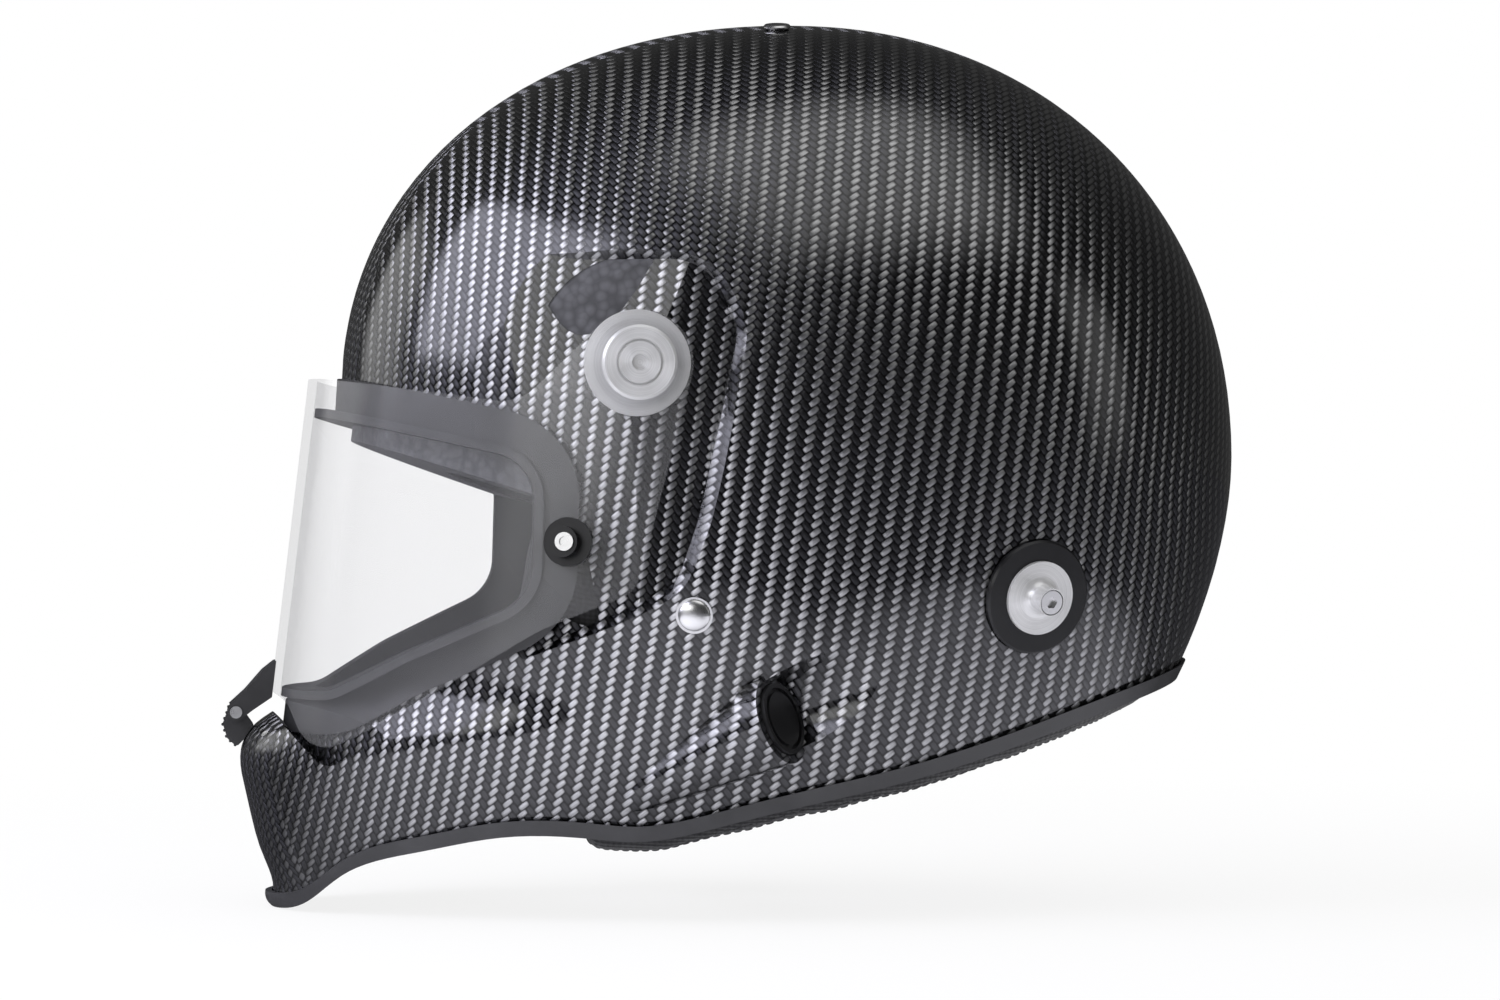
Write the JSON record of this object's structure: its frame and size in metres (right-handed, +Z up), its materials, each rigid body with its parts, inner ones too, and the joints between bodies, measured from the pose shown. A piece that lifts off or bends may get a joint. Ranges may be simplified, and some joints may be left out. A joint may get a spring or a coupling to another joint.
{
  "type": "auto racing helmet",
  "caption": "Full-face carbon racing helmet with a tilting visor, lift latch, tether posts, padded liner, chin strap and plugged side ports.",
  "frame": {"origin": "reference point in the middle of the head cavity, level with the visor pivots' lower edge", "axes": "+Z up through the crown as worn, -Y the way the face looks, +X the wearer's left, X = 0 the mirror plane"},
  "size_m": [0.2542, 0.3352, 0.2911],
  "materials": {
    "carbon": "clear-coated carbon twill",
    "rubber": "satin",
    "foam": "matt",
    "fabric": "knit",
    "webbing": "woven",
    "clear": "clear",
    "steel": "satin",
    "aluminium": "turned",
    "black_metal": "anodised black",
    "black_plastic": "satin"
  },
  "bodies": {
    "shell": {"outer_shell": "carbon", "eyeport_gasket": "rubber", "edge_trim": "rubber", "eps_liner": "foam", "crown_pad": "fabric", "chin_liner": "foam", "neck_roll": "fabric", "cheek_pad_left": "fabric", "cheek_pad_right": "fabric", "pivot_plates": "black_plastic", "pivot_screws": "aluminium", "tether_washers": "black_metal", "tether_posts": "aluminium", "tether_screws": "steel", "strap_rivets": "steel", "crown_plugs": "black_plastic", "port_plugs": "black_plastic", "chin_strap_left": "webbing", "chin_strap_right": "webbing", "strap_snap": "steel"},
    "visor": {"visor_lens": "clear", "tear_off_posts": "black_plastic", "tear_off_screws": "steel", "latch_bracket": "black_plastic", "latch_pin": "steel"},
    "latch": {"latch_lever": "black_plastic"},
    "ring_upper": {"d_ring_upper": "steel"},
    "ring_lower": {"d_ring_lower": "steel"}
  },
  "joints": [
    {"name": "visor_tilt", "type": "hinge", "parent": "shell", "child": "visor", "pos_m": [0, -0.05931, 0.00951], "axis": [-1, 0, 0], "range_deg": [0, 50]},
    {"name": "latch_lift", "type": "hinge", "parent": "visor", "child": "latch", "pos_m": [0, -0.18278, -0.10301], "axis": [-1, 0, 0], "range_deg": [0, 30]},
    {"name": "ring_upper_swing", "type": "hinge", "parent": "shell", "child": "ring_upper", "pos_m": [-0.03, -0.04219, -0.13422], "axis": [0, -1, 0], "range_deg": [0, 35]},
    {"name": "ring_lower_swing", "type": "hinge", "parent": "shell", "child": "ring_lower", "pos_m": [-0.03, -0.04219, -0.13838], "axis": [0, 1, 0], "range_deg": [0, 35]}
  ]
}
